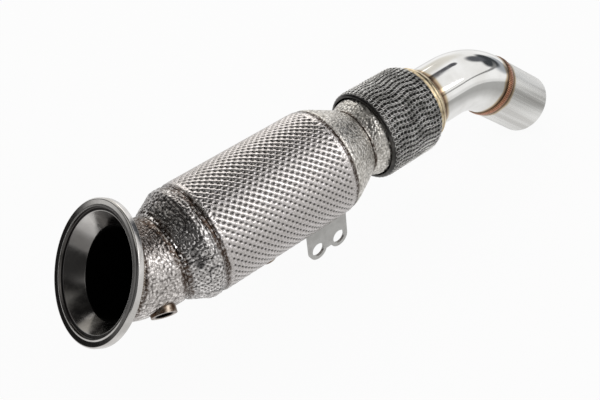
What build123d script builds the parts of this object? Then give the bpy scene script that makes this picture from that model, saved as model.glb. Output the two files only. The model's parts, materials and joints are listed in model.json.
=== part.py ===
from build123d import *
from math import acos, cos, hypot, radians, sin, tan
import os

# Turbo downpipe, millimetres. The origin is on the inlet flange's axis, where its rim begins.
# The body lies along X, +Z is up, and the inlet bends in the XZ plane.

# Route of the gas
inlet_bend = 34.5  # degrees, from the inlet down to the body
inlet_lead = 2.35  # straight pipe from the flange's cone to the bend
inlet_bend_radius = 71.0
inlet_straight = 8.35  # straight pipe from the bend to the inlet cone
tail_leg = 152.8  # end of the neck to the corner of the outlet bend
outlet_bend = 42.0  # degrees, down from the body
outlet_clock = 7.5  # degrees, the outlet bend's lean to the front
outlet_bend_radius = 91.0
outlet_leg = 39.8  # corner of the outlet bend to the outlet weld
outlet_length = 72.0

# Tubes
pipe_r = 44.45
neck_r = 37.5
tail_r = 34.9
can_r = 57.15
tube_wall = 1.5
slip = 0.05  # clearance between nested round faces

# Inlet flange
flange_r = 68.0
rim_width = 7.0
rim_round = 1.6
rim_dish = 1.2  # hollow in the face between the rim and the sealing ring
rim_land = 8.0  # rim's edge to the raised sealing ring
seat_width = 1.6
seat_face = 0.4  # sealing ring's face, behind the rim's
seat_step = 3.2  # face of the rim to the ledge inside the sealing ring
ledge_width = 4.0  # sealing ring to the mouth of the cone
cone_depth = 20.0
hub_length = 22.0
hub_wall = 3.0
hub_shoulder = 10.0  # rim's back slope ends this far behind the face
throat_wall = 1.0  # cone's mouth to the end of that slope
weld_size = 2.0

# Heat shields: foil over a thin blanket
foil = 0.5
blanket = 1.05
lip = 1.6  # edge of the foil that lies on the tube
rise = 1.2  # slope from that edge up to full height
seam_gap = 0.8

# Inlet cone and body, as distances from the body shield's front
inlet_cone_length = 24.0
cone_end = -12.0
can_start = -8.0
shield_length = 165.0
can_tail = 1.0  # can's end past the shield

# Outlet cone and neck
shoulder_start = 11.0  # where the outlet cone steepens, past the can
shoulder_drop = 4.35  # its radius there, less than the can's
outlet_cone_length = 42.0
neck_length = 28.0
neck_belly = (11.0, 42.1)  # neck shield's curve, distance past the cone and inside radius
flare = (21.5, 44.5)  # neck shield's open end, in the same way

# Catalyst
mat_width = 2.65  # mat between a brick and the can
front_brick_start = 4.0
front_brick_length = 60.0
brick_gap = 24.0
rear_brick_margin = 14.0  # rear brick to the can's end
cell = 7.6
cell_wall = 1.2
brick_rim = 1.6

# Flexible joint, as distances from the neck's end
braid_wall = 1.2
braid_r = 51.4
braid_start = (-4.7, 50.35)  # distance and outside radius
braid_full = 7.0
braid_shrink = 48.0
braid_end = (66.0, 45.6)
ridge_count = 14  # rows of the braid's weave
ridge_depth = 0.6
bellows_start = 4.0
bellows_crest_r = 48.5
bellows_wall = 0.5
fold_pitch = 7.0
fold_count = 8
fold_slope = 0.3  # share of the pitch that climbs to a fold's crest
fold_crest = 0.2  # share of the pitch along the crest
liner_step_r = 36.0
liner_r = 36.8
liner_bore_r = 34.2
liner_pitch = 8.0
liner_count = 8
ring_start = -5.8
ring_lip = -11.4
ring_lip_width = 1.0
groove_width = 1.8
groove_r = 42.4
cap_r = 44.1
cap_toe_r = 38.4
cap_end = 77.5
cuff_end = 77.0
tail_start = 65.0
cuff_taper = 2.5  # bellows' step down onto the tail tube
cap_step = 2.6  # end ring's step down, past the tail tube's start
cap_skirt = 3.0  # end ring's reach under the braid, before the tail tube

# Welds on the tail
tail_weld_width = 9.0
tail_weld_height = 1.4
cap_weld_width = 3.6
cap_weld_height = 1.4

# Sensor bosses, M18 by 1.5
boss_r = 12.75
boss_bore_r = 8.2
boss_mouth_r = 9.0
boss_mouth_depth = 0.9
boss_face = 50.5  # face of the front boss, out from the pipe's centre
front_boss_turn = 4.0  # degrees of bend left between the boss and the body
front_boss_lean = 25.0  # degrees, the boss's tilt towards the flange
front_boss_clock = 43.5  # degrees, from straight down to the front
rear_boss_setback = 10.0  # front brick to the rear boss
rear_boss_height = 11.85  # face of the rear boss, out from the can
sleeve_gap = 0.6  # shield's cut-out round a boss
boss_root_turn = 30.0  # degrees round its tube that a boss's blank may reach down

# Bracket
plate = 3.0
bracket_setback = 56.3  # bracket's left edge to the body shield's rear
hole_first = 11.8  # left edge to the first hole
hole_pitch = 28.8
hole_r = 7.75
lobe_r = 11.8
bracket_root_clock = 36.0  # degrees, from straight down to the front
bracket_lean = 6.0  # degrees, the plate's foot tucked under the body
hole_drop = 26.0  # root to the holes' centres
valley_drop = 30.5  # root to the valley between the two lobes
bracket_weld_leg = 2.4
bracket_weld_root = 4.0  # depth of the weld's blank, before it is cut to the can


def heading(bend, clock=0.0):
    """Direction that has turned down from the body's axis by a bend."""
    down = sin(radians(bend))
    return Vector(cos(radians(bend)), -down * sin(radians(clock)), -down * cos(radians(clock)))


along = Vector(1, 0, 0)
inlet_dir = heading(inlet_bend)
outlet_dir = heading(outlet_bend, outlet_clock)
flange_face = inlet_dir * -rim_round
inlet_tangent = inlet_bend_radius * tan(radians(inlet_bend / 2))
cone_start = cone_end - inlet_cone_length
inlet_corner = flange_face + inlet_dir * (cone_depth + inlet_lead + inlet_tangent)
body = inlet_corner + along * (inlet_tangent + inlet_straight - cone_start)
can_end = shield_length + can_tail
neck_start = can_end + outlet_cone_length
neck_end = neck_start + neck_length
outlet_corner = body + along * (neck_end + tail_leg)
tail_joint = outlet_corner + outlet_dir * outlet_leg

# Side planes: x runs with the gas and y is the radius, for profiles that turn about the tube
inlet_side = Plane(origin=flange_face, x_dir=inlet_dir, z_dir=(0, -1, 0))
body_side = Plane(origin=body, x_dir=along, z_dir=(0, -1, 0))
cone_side = Plane(origin=body + along * can_end, x_dir=along, z_dir=(0, -1, 0))
neck_side = Plane(origin=body + along * neck_start, x_dir=along, z_dir=(0, -1, 0))
flex_side = Plane(origin=body + along * neck_end, x_dir=along, z_dir=(0, -1, 0))
tail_side = Plane(origin=tail_joint, x_dir=outlet_dir, z_dir=outlet_dir.cross(along))
inlet_front = Plane(origin=flange_face, z_dir=inlet_dir)

# Clearance from a tube to its foil, over the blanket
cover = blanket + 2 * slip


def turn(side, outline, mode=Mode.ADD):
    """Turns a closed outline of (distance, radius) points about the tube's centre."""
    with BuildSketch(side) as profile:
        with BuildLine():
            Polyline(*outline, close=True)
        make_face()
    revolve(profile.sketch, axis=Axis(side.origin, side.x_dir), mode=mode)


def tube(side, start, end, bore_r, outer_r):
    """A plain straight tube."""
    turn(side, [(start, bore_r), (end, bore_r), (end, outer_r), (start, outer_r)])


def sheet(side, line, thickness):
    """A turned sheet whose inner face follows a line of (distance, radius) points."""
    turn(side, line + [(x, r + thickness) for x, r in reversed(line)])


def follow(line, start, end, gap):
    """The part of a line from one distance to another, a gap further out."""
    inside = [(x, r) for x, r in line if start < x < end]
    ends = []
    for x in (start, end):
        (x0, r0), (x1, r1) = next(pair for pair in zip(line, line[1:]) if pair[0][0] <= x <= pair[1][0])
        ends.append((x, r0 + (r1 - r0) * (x - x0) / (x1 - x0)))
    return [(x, r + gap) for x, r in [ends[0]] + inside + [ends[1]]]


def blanket_on(line, start, end):
    """Inner line of the blanket on a tube, under the full height of its foil."""
    return follow(line, start + lip + rise, end - lip - rise, slip)


def foil_on(line, start, end):
    """Inner line of a foil whose two edges come down onto the tube."""
    edge = follow(line, start, start + lip, slip)
    middle = follow(line, start + lip + rise, end - lip - rise, cover)
    return edge + middle + follow(line, end - lip, end, slip)


def swept(start, corner, end, bend_radius, radius, mode=Mode.ADD):
    """A round bar along a route with one bend."""
    with BuildLine() as route:
        FilletPolyline(start, corner, end, radius=bend_radius)
    with BuildSketch(Plane(origin=start, z_dir=corner - start)) as section:
        Circle(radius)
    sweep(section.sketch, path=route.wire(), mode=mode)


def inlet_run(radius, end=cone_start, mode=Mode.ADD):
    """A round bar from the flange's cone through the inlet bend to a station on the body."""
    start = flange_face + inlet_dir * cone_depth
    swept(start, inlet_corner, body + along * end, inlet_bend_radius, radius, mode)


def tail_run(radius, mode=Mode.ADD):
    """A round bar from the flexible joint through the outlet bend to the outlet weld."""
    start = body + along * (neck_end + tail_start)
    end = tail_joint - outlet_dir * (tail_weld_width / 2 + slip)
    swept(start, outlet_corner, end, outlet_bend_radius, radius, mode)


def plug(place, radius, start, end, mode=Mode.ADD):
    """A cylinder along a plane's normal."""
    with BuildSketch(place.offset(start)) as section:
        Circle(radius)
    extrude(section.sketch, amount=end - start, mode=mode)


def bead(side, start, width, foot_r, base_r, height):
    """A ring of weld: its round back stands on a base radius, and it reaches in to its foot."""
    end = start + width
    with BuildSketch(side) as profile:
        with BuildLine():
            ThreePointArc((start, base_r), (start + width / 2, base_r + height), (end, base_r))
            Polyline((end, base_r), (end, foot_r), (start, foot_r), (start, base_r))
        make_face()
    revolve(profile.sketch, axis=Axis(side.origin, side.x_dir))


def threaded_hole(place, face):
    """A boss's bore with a chamfered mouth."""
    plug(place, boss_bore_r, 0, face, mode=Mode.SUBTRACT)
    with Locations(place.offset(face - boss_mouth_depth)):
        Cone(
            boss_bore_r,
            boss_mouth_r,
            boss_mouth_depth,
            align=(Align.CENTER, Align.CENTER, Align.MIN),
            mode=Mode.SUBTRACT,
        )


def save(piece, name):
    """Labels one piece and writes it as its own file."""
    piece.part.label = name
    export_step(piece.part, f"parts/{name}.step")


os.makedirs("parts", exist_ok=True)

# Places of the bosses and the bracket
boss_root = cos(radians(boss_root_turn))
boss_turn = radians(front_boss_turn)
boss_lean = radians(front_boss_lean)
boss_clock = radians(front_boss_clock)
bend_end = cone_start - inlet_straight
front_boss_centre = body + Vector(
    bend_end - inlet_bend_radius * sin(boss_turn), 0, inlet_bend_radius * (1 - cos(boss_turn))
)
front_boss_down = Vector(-sin(boss_lean), 0, -cos(boss_lean))
front_boss = Plane(
    origin=front_boss_centre, z_dir=front_boss_down * cos(boss_clock) - Vector(0, 1, 0) * sin(boss_clock)
)
rear_boss_x = front_brick_start + front_brick_length + rear_boss_setback
rear_boss_face = can_r + rear_boss_height
rear_boss = Plane(origin=body + along * rear_boss_x, x_dir=(1, 0, 0), z_dir=(0, 0, -1))
root_clock = radians(bracket_root_clock)
lean = radians(bracket_lean)
bracket_start = shield_length - bracket_setback
bracket_root = body + Vector(bracket_start, -can_r * sin(root_clock), -can_r * cos(root_clock))
bracket_face = Plane(origin=bracket_root, x_dir=(1, 0, 0), z_dir=(0, -cos(lean), -sin(lean)))
bracket_end = Plane(origin=bracket_root, x_dir=bracket_face.z_dir, z_dir=(1, 0, 0))
bracket_width = 2 * hole_first + hole_pitch
slot_half = plate / 2 + bracket_weld_leg

# Inlet flange: a band-clamp rim, a raised sealing ring and a cone into the pipe
seat_r = flange_r - rim_land
throat_r = seat_r - ledge_width
with BuildPart() as inlet_flange:
    turn(
        inlet_side,
        [
            (rim_round, flange_r),
            (0.0, flange_r - rim_round),
            (rim_dish, seat_r + seat_width),
            (seat_face, seat_r),
            (seat_step, seat_r - seat_width / 2),
            (seat_step, throat_r),
            (cone_depth, pipe_r + slip),
            (hub_length, pipe_r + slip),
            (hub_length, pipe_r + hub_wall),
            (hub_shoulder, throat_r + throat_wall),
            (rim_width, flange_r),
        ],
    )
save(inlet_flange, "inlet_flange")

with BuildPart() as flange_weld:
    foot = pipe_r + slip
    turn(inlet_side, [(hub_length, foot), (hub_length + weld_size, foot), (hub_length, foot + weld_size)])
save(flange_weld, "flange_weld")

# Inlet elbow, its sensor boss and its heat shield
with BuildPart() as inlet_elbow:
    inlet_run(pipe_r)
    inlet_run(pipe_r - tube_wall, mode=Mode.SUBTRACT)
    plug(front_boss, boss_mouth_r, 0, boss_face, mode=Mode.SUBTRACT)
save(inlet_elbow, "inlet_elbow")

with BuildPart() as front_sensor_boss:
    plug(front_boss, boss_r, pipe_r * boss_root, boss_face)
    inlet_run(pipe_r + slip, mode=Mode.SUBTRACT)
    threaded_hole(front_boss, boss_face)
save(front_sensor_boss, "front_sensor_boss")


def elbow_layer(inner_r, thickness, inset):
    """One layer over the elbow, cut square at its ends and open round the boss."""
    inlet_run(inner_r + thickness, cone_start - seam_gap - inset)
    inlet_run(inner_r, cone_start - seam_gap - inset, mode=Mode.SUBTRACT)
    plug(inlet_front, flange_r, 0, hub_length + weld_size + seam_gap + inset, mode=Mode.SUBTRACT)
    plug(front_boss, boss_r + sleeve_gap, 0, boss_face, mode=Mode.SUBTRACT)


with BuildPart() as elbow_blanket:
    elbow_layer(pipe_r + slip, blanket, seam_gap)
save(elbow_blanket, "elbow_blanket")

with BuildPart() as elbow_shield:
    elbow_layer(pipe_r + cover, foil, 0)
save(elbow_shield, "elbow_shield")

# Inlet cone, its blanket and its foil
inlet_cone_line = [(cone_start, pipe_r), (cone_end, can_r), (can_start, can_r)]
with BuildPart() as inlet_cone:
    sheet(body_side, [(x, r - tube_wall) for x, r in inlet_cone_line], tube_wall)
save(inlet_cone, "inlet_cone")

under_cone_foil = inlet_cone_line[:2] + [(0, can_r)]
with BuildPart() as inlet_cone_blanket:
    sheet(body_side, blanket_on(under_cone_foil, cone_start, -seam_gap), blanket)
save(inlet_cone_blanket, "inlet_cone_blanket")

with BuildPart() as inlet_cone_shield:
    sheet(body_side, foil_on(under_cone_foil, cone_start, -seam_gap), foil)
save(inlet_cone_shield, "inlet_cone_shield")

# Catalyst: can, two bricks and the mats that hold them
brick_r = can_r - tube_wall - mat_width
front_brick_end = front_brick_start + front_brick_length
rear_brick_start = front_brick_end + brick_gap
rear_brick_end = can_end - rear_brick_margin
with BuildPart() as catalyst_can:
    tube(body_side, can_start, can_end, can_r - tube_wall, can_r)
    plug(rear_boss, boss_mouth_r, 0, rear_boss_face, mode=Mode.SUBTRACT)
save(catalyst_can, "catalyst_can")


def brick(start, end):
    """A honeycomb brick: square cells through a round block."""
    pitch = cell + cell_wall
    across = int(2 * brick_r / pitch)
    half = pitch * (across - 1) / 2
    lines = [index * pitch - half for index in range(across)]
    reach = brick_r - brick_rim
    spots = [(u, v) for u in lines for v in lines if hypot(abs(u) + cell / 2, abs(v) + cell / 2) < reach]
    with BuildSketch(Plane(origin=body + along * start, x_dir=(0, 1, 0), z_dir=along)) as face:
        Circle(brick_r)
        with Locations(*spots):
            Rectangle(cell, cell, mode=Mode.SUBTRACT)
    extrude(face.sketch, amount=end - start)


def mat(start, end):
    """The mat round a brick."""
    tube(body_side, start, end, brick_r + slip, can_r - tube_wall - slip)


with BuildPart() as front_catalyst_brick:
    brick(front_brick_start, front_brick_end)
save(front_catalyst_brick, "front_catalyst_brick")

with BuildPart() as rear_catalyst_brick:
    brick(rear_brick_start, rear_brick_end)
save(rear_catalyst_brick, "rear_catalyst_brick")

with BuildPart() as front_brick_mat:
    mat(front_brick_start, front_brick_end)
save(front_brick_mat, "front_brick_mat")

with BuildPart() as rear_brick_mat:
    mat(rear_brick_start, rear_brick_end)
save(rear_brick_mat, "rear_brick_mat")


def body_openings():
    """Room in the body's blanket and foil for the rear boss and the bracket's root."""
    plug(rear_boss, boss_r + sleeve_gap, 0, rear_boss_face, mode=Mode.SUBTRACT)
    with BuildSketch(bracket_face) as gap:
        with Locations((bracket_width / 2, 0)):
            Rectangle(bracket_width + 2 * bracket_weld_leg, 4 * slot_half)
    extrude(gap.sketch, amount=slot_half, both=True, mode=Mode.SUBTRACT)


body_line = [(0, can_r), (shield_length, can_r)]
with BuildPart() as body_blanket:
    sheet(body_side, blanket_on(body_line, 0, shield_length), blanket)
    body_openings()
save(body_blanket, "body_blanket")

with BuildPart() as body_shield:
    sheet(body_side, foil_on(body_line, 0, shield_length), foil)
    body_openings()
save(body_shield, "body_shield")

with BuildPart() as rear_sensor_boss:
    plug(rear_boss, boss_r, can_r * boss_root, rear_boss_face)
    turn(body_side, [(0, 0), (can_end, 0), (can_end, can_r + slip), (0, can_r + slip)], mode=Mode.SUBTRACT)
    threaded_hole(rear_boss, rear_boss_face)
save(rear_sensor_boss, "rear_sensor_boss")

# Bracket: a flat plate with two lobes, its root cut to the can
with BuildPart() as mounting_bracket:
    with BuildSketch(bracket_face.offset(-plate / 2)) as outline:
        with Locations((bracket_width / 2, (plate - hole_drop) / 2)):
            Rectangle(bracket_width, hole_drop + plate)
        with Locations((bracket_width / 2, -valley_drop / 2)):
            Rectangle(hole_pitch, valley_drop)
        with Locations((hole_first, -hole_drop), (hole_first + hole_pitch, -hole_drop)):
            Circle(lobe_r)
            Circle(hole_r, mode=Mode.SUBTRACT)
    extrude(outline.sketch, amount=plate)
    turn(body_side, [(0, 0), (can_end, 0), (can_end, can_r + slip), (0, can_r + slip)], mode=Mode.SUBTRACT)
save(mounting_bracket, "mounting_bracket")

with BuildPart() as bracket_weld:
    near = plate / 2 + slip
    far = near + 0.8 * bracket_weld_leg
    with BuildSketch(bracket_end) as profile:
        with BuildLine():
            Polyline(
                (near, -bracket_weld_root),
                (near, bracket_weld_leg / 2),
                (far, -bracket_weld_leg),
                (far, -bracket_weld_root),
                close=True,
            )
        make_face()
    extrude(profile.sketch, amount=bracket_width)
    turn(body_side, [(0, 0), (can_end, 0), (can_end, can_r + slip), (0, can_r + slip)], mode=Mode.SUBTRACT)
save(bracket_weld, "bracket_weld")

# Outlet cone and the neck into the flexible joint
outlet_cone_line = [(0, can_r), (shoulder_start, can_r - shoulder_drop), (outlet_cone_length, neck_r)]
with BuildPart() as outlet_cone:
    sheet(cone_side, [(x, r - tube_wall) for x, r in outlet_cone_line], tube_wall)
save(outlet_cone, "outlet_cone")

with BuildPart() as neck_tube:
    tube(neck_side, 0, neck_length, neck_r - tube_wall, neck_r)
save(neck_tube, "neck_tube")

outlet_foil_start = seam_gap - can_tail
under_outlet_foil = [(-can_tail, can_r)] + outlet_cone_line
with BuildPart() as outlet_cone_blanket:
    sheet(cone_side, blanket_on(under_outlet_foil, outlet_foil_start, outlet_cone_length), blanket)
save(outlet_cone_blanket, "outlet_cone_blanket")

with BuildPart() as outlet_cone_shield:
    sheet(cone_side, foil_on(under_outlet_foil, outlet_foil_start, outlet_cone_length), foil)
save(outlet_cone_shield, "outlet_cone_shield")

neck_edge = seam_gap + lip
neck_line = [(neck_edge + rise, neck_r + cover), neck_belly, flare]
with BuildPart() as neck_shield:
    sheet(neck_side, [(seam_gap, neck_r + slip), (neck_edge, neck_r + slip)] + neck_line, foil)
save(neck_shield, "neck_shield")

with BuildPart() as neck_blanket:
    filled = [(x, r - slip) for x, r in neck_line]
    turn(neck_side, filled + [(flare[0], neck_r + slip), (neck_edge + rise, neck_r + slip)])
save(neck_blanket, "neck_blanket")


# Flexible joint: a ridged braid over folded bellows, with an interlocked liner inside
def rounded(share):
    """A quarter of an ellipse: how far up it is, at a share of the way along."""
    return sin(acos(1 - share))


def braid_radius(x):
    """Outside radius of the braid's barrel at a distance."""
    start, end = braid_start, braid_end
    if x < braid_full:
        return start[1] + (braid_r - start[1]) * rounded((x - start[0]) / (braid_full - start[0]))
    if x > braid_shrink:
        return end[1] + (braid_r - end[1]) * rounded((end[0] - x) / (end[0] - braid_shrink))
    return braid_r


row = (braid_end[0] - braid_start[0]) / ridge_count
crests = [braid_start[0] + index * row for index in range(ridge_count + 1)]
woven = [(crests[0], braid_radius(crests[0]))]
for crest in crests[1:]:
    woven += [(crest - row / 2, braid_radius(crest - row / 2) - ridge_depth), (crest, braid_radius(crest))]
with BuildPart() as flex_braid:
    turn(flex_side, woven + [(x, braid_radius(x) - braid_wall) for x in reversed(crests)])
save(flex_braid, "flex_braid")

cuff_r = neck_r + slip
tail_cuff_r = tail_r + slip
inner_line = [(ring_start, cuff_r)]
outer_line = [(ring_start, cuff_r + bellows_wall)]
for count in range(fold_count):
    root = bellows_start + count * fold_pitch
    crest = root + fold_slope * fold_pitch
    crest_end = crest + fold_crest * fold_pitch
    foot = crest_end + fold_slope * fold_pitch
    top = bellows_crest_r - bellows_wall
    inner_line += [(root, cuff_r), (crest, top), (crest_end, top), (foot, cuff_r)]
    outer_line += [(root - bellows_wall, cuff_r + bellows_wall), (crest - bellows_wall, bellows_crest_r)]
    outer_line += [(crest_end + bellows_wall, bellows_crest_r), (foot + bellows_wall, cuff_r + bellows_wall)]
taper = tail_start - bellows_wall
inner_line += [(taper, cuff_r), (taper + cuff_taper, tail_cuff_r), (cuff_end, tail_cuff_r)]
outer_line += [(x, r + bellows_wall) for x, r in inner_line[-3:]]
with BuildPart() as flex_bellows:
    turn(flex_side, inner_line + outer_line[::-1])
save(flex_bellows, "flex_bellows")

sleeve_r = neck_r - tube_wall - slip
steps = [(ring_start, liner_bore_r), (ring_start, sleeve_r), (slip, sleeve_r)]
for count in range(liner_count):
    first = slip + count * liner_pitch
    middle = first + liner_pitch / 2
    steps += [(first, liner_r), (middle, liner_r)]
    steps += [(middle, liner_step_r), (first + liner_pitch, liner_step_r)]
with BuildPart() as flex_liner:
    turn(flex_side, steps + [(slip + liner_count * liner_pitch, liner_bore_r)])
save(flex_liner, "flex_liner")

cuff_seat = cuff_r + bellows_wall + slip
lip_r = flare[1] + foil + ring_lip_width
ring_back = braid_start[0] - slip
under_start = braid_start[1] - braid_wall - slip
roll = [(ring_lip, lip_r)]
for share in (0.1, 0.3, 0.6, 1.0):
    swell = rounded(share) * (braid_start[1] - lip_r)
    roll.append((ring_lip + share * (ring_back - ring_lip), lip_r + swell))
with BuildPart() as flex_front_ring:
    turn(
        flex_side,
        [(0, cuff_seat), (ring_start, cuff_seat), (ring_start, lip_r - ring_lip_width / 2)]
        + [(ring_lip + ring_lip_width / 2, lip_r - ring_lip_width / 2)]
        + roll
        + [(ring_back, under_start), (0, under_start)],
    )
save(flex_front_ring, "flex_front_ring")

tail_seat = tail_cuff_r + bellows_wall + slip
under_end = braid_end[1] - braid_wall - slip
groove = braid_end[0] + 2 * slip
round_start = groove + groove_width
roll = [(round_start, cap_r - ridge_depth)]
for share in (0.9, 0.6, 0.3, 0.1, 0):
    swell = rounded(share) * (cap_r - cap_toe_r)
    roll.append((cap_end - share * (cap_end - round_start), cap_toe_r + swell))
with BuildPart() as flex_rear_cap:
    turn(
        flex_side,
        [(tail_start + cap_step, cuff_seat), (tail_start - cap_skirt, cuff_seat)]
        + [(tail_start - cap_skirt, under_end)]
        + [(groove, under_end), (groove, groove_r), (round_start, groove_r)]
        + roll
        + [(cap_end, tail_seat), (tail_start + cap_step, tail_seat)],
    )
save(flex_rear_cap, "flex_rear_cap")

# Outlet bend, outlet tube and the welds
with BuildPart() as outlet_bend_tube:
    tail_run(tail_r)
    tail_run(tail_r - tube_wall, mode=Mode.SUBTRACT)
save(outlet_bend_tube, "outlet_bend_tube")

with BuildPart() as outlet_tube:
    tube(tail_side, tail_weld_width / 2 + slip, outlet_length, tail_r - tube_wall, tail_r)
save(outlet_tube, "outlet_tube")

with BuildPart() as outlet_weld:
    bead(tail_side, -tail_weld_width / 2, tail_weld_width, tail_r - tube_wall, tail_r, tail_weld_height)
save(outlet_weld, "outlet_weld")

with BuildPart() as flex_weld:
    bead(flex_side, cap_end + slip, cap_weld_width, tail_cuff_r, tail_seat, cap_weld_height)
save(flex_weld, "flex_weld")
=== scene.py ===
import json
import math

import bpy
import numpy as np
from mathutils import Matrix, Vector


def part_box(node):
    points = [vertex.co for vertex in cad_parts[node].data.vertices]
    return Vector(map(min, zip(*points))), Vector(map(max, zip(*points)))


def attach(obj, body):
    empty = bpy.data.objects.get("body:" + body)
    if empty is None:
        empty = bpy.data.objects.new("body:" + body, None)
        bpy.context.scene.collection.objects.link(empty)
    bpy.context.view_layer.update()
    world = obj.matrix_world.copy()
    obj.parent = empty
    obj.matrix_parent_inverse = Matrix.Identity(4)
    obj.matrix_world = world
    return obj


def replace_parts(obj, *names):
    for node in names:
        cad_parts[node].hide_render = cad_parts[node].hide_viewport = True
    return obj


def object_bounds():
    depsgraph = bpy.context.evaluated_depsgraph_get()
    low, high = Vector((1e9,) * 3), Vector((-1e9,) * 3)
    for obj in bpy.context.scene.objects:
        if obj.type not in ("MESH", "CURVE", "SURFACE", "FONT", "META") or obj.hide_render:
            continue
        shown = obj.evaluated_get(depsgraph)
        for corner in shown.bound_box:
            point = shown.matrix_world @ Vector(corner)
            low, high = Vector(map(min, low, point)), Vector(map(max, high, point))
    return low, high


# Turbo downpipe, in millimetres. Its meshes, the camera, the lamps and the studio are in metres.
# A line or an outline lists (distance, radius) points along a route.
MM = 0.001
TURN = 2 * math.pi

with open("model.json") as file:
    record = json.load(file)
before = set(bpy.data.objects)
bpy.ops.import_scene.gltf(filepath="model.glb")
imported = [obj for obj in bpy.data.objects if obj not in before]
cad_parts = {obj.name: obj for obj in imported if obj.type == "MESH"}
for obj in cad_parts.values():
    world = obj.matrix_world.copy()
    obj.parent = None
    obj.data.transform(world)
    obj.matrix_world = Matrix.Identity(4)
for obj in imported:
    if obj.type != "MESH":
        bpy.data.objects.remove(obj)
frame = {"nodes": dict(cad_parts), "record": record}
cad_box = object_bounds()
nodes = frame["nodes"]
mounts = {mount["name"]: mount for mount in frame["record"]["mounts"]}

# Camera: the photograph's view, by its place and its directions forward and up
CAMERA_PLACE = Vector((-0.23753, -0.69816, 0.51421))
CAMERA_FORWARD = Vector((0.4636, 0.6875, -0.5589))
CAMERA_UP = Vector((0.4655, 0.3478, 0.8138))
CAMERA_LENS = 58.66
CAMERA_SENSOR = 36.0

# Tubes, by their outside radii
PIPE_R = 44.45
NECK_R = 37.5
TAIL_R = 34.9
CAN_R = 57.15
WALL = 1.5
SLIP = 0.05  # between pieces that lie against each other

# Foils and the blankets under them
FOIL = 0.5
COVER = 1.15  # tube to the inside of its foil
LIP = 1.6  # flat band along a foil's edge, pressed down on the tube
RISE = 1.2  # from the lip to the foil's full height
SEAM = 0.8  # from a joint of two tubes to a foil's edge
CLOSE = 0.33  # how far a foil's edge reaches into its seam
LEFT = 0.45  # room that the foils' relief leaves over a tube, for the blanket
PRESSED = COVER - 0.3  # how far a foil is pressed in round a boss
SHIELD_R = CAN_R + COVER + FOIL

# Stations along the body, from the body shield's front
CONE_START = -36.0
CONE_END = -12.0
SHIELD_LENGTH = 165.0
CAN_END = 166.0
NECK_START = 208.0
NECK_END = 236.0

# Inlet route, from the flange's face
INLET_LEAD = 22.35
INLET_BEND = 34.5
INLET_BEND_R = 71.0
INLET_REST = 8.35  # the pipe's straight end, after its bend
ELBOW_FOIL_START = 24.8

# Tail
OUTLET_BEND_R = 91.0
OUTLET_BEND = 42.0
TAIL_START = 65.0  # from the neck's end
OUTLET_LENGTH = 72.0
WELD_WIDTH = 9.0
WELD_HEIGHT = 1.4

# Sensor bosses, and how far outside them a foil starts and ends its rise
BOSS_R = 12.75
RISE_FROM = 0.8
RISE_TO = 4.5


def unit(vectors):
    vectors = np.asarray(vectors, float)
    return vectors / np.linalg.norm(vectors, axis=-1, keepdims=True)


class Route:
    """A tube's centre line: straight, then one round bend, then straight again.

    Angles round the tube start at its up side, in the bend's plane, and go towards its side.
    """

    def __init__(self, start, way, lead=0.0, bend=0.0, radius=1.0, after=None, up=(0, 0, 1)):
        self.start = np.asarray(start, float)
        self.way = unit(way)
        self.lead = lead
        self.bend = math.radians(bend)
        self.radius = radius
        towards = np.asarray(up if after is None else after, float)
        self.up = unit(towards - self.way * np.dot(towards, self.way))
        self.side = np.cross(self.way, self.up)

    def at(self, x):
        """Centre, up and side at distances along the line."""
        x = np.asarray(x, float)[..., None]
        turned = np.clip((x - self.lead) / self.radius, 0, self.bend)
        way = self.way * np.cos(turned) + self.up * np.sin(turned)
        up = self.up * np.cos(turned) - self.way * np.sin(turned)
        arc = (self.way * np.sin(turned) + self.up * (1 - np.cos(turned))) * self.radius
        straight = self.way * np.minimum(x, self.lead)
        rest = way * np.maximum(x - self.lead - self.bend * self.radius, 0)
        return self.start + straight + arc + rest, up, self.side

    def points(self, x, r, angle):
        """Points at a distance along, a radius and an angle round."""
        centre, up, side = self.at(x)
        r = np.asarray(r, float)[..., None]
        angle = np.asarray(angle, float)[..., None]
        return centre + r * (np.cos(angle) * up + np.sin(angle) * side)


def mount_place(name):
    return np.array(mounts[name]["pos_m"]) / MM


def mount_way(name):
    return unit(mounts[name]["axis"])


# Routes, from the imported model's mounts and body
ALONG = np.array([1.0, 0, 0])
inlet_way = -mount_way("inlet_flange")
outlet_way = mount_way("outlet_tube")
shield_low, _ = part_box("body_shield")
can_low, can_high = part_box("catalyst_can")
axis_height = (can_low.z + can_high.z) / 2 / MM
body_front = np.array([shield_low.x / MM, 0, axis_height])
RIM_ROUND = 1.6  # the flange's face lies this far in front of the mount
inlet = Route(inlet_way * -RIM_ROUND, inlet_way, INLET_LEAD, INLET_BEND, INLET_BEND_R, ALONG)
body = Route(body_front, ALONG)
flex = Route(body_front + ALONG * NECK_END, ALONG)
neck = Route(body_front + ALONG * NECK_START, ALONG)
tail_joint = mount_place("outlet_tube") - outlet_way * OUTLET_LENGTH
outlet = Route(tail_joint, outlet_way, up=-ALONG)
tail_tangent = OUTLET_BEND_R * math.tan(math.radians(OUTLET_BEND / 2))
tail_corner_x = (tail_joint[2] - axis_height) / outlet_way[2]
tail_corner = tail_joint - outlet_way * tail_corner_x
tail_begin = body_front + ALONG * (NECK_END + TAIL_START)
tail_lead = tail_corner[0] - tail_begin[0] - tail_tangent
tail = Route(tail_begin, ALONG, tail_lead, OUTLET_BEND, OUTLET_BEND_R, outlet_way)
tail_length = tail_lead + tail.bend * OUTLET_BEND_R + tail_corner_x - tail_tangent


# Height fields, all repeatable
def smooth(share):
    return share * share * (3 - 2 * share)


def chance(i, j, seed):
    """A number from 0 to 1 for each cell of a grid."""
    mixed = np.sin(i * 127.1 + j * 311.7 + seed * 74.7) * 43758.5453
    return mixed - np.floor(mixed)


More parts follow.
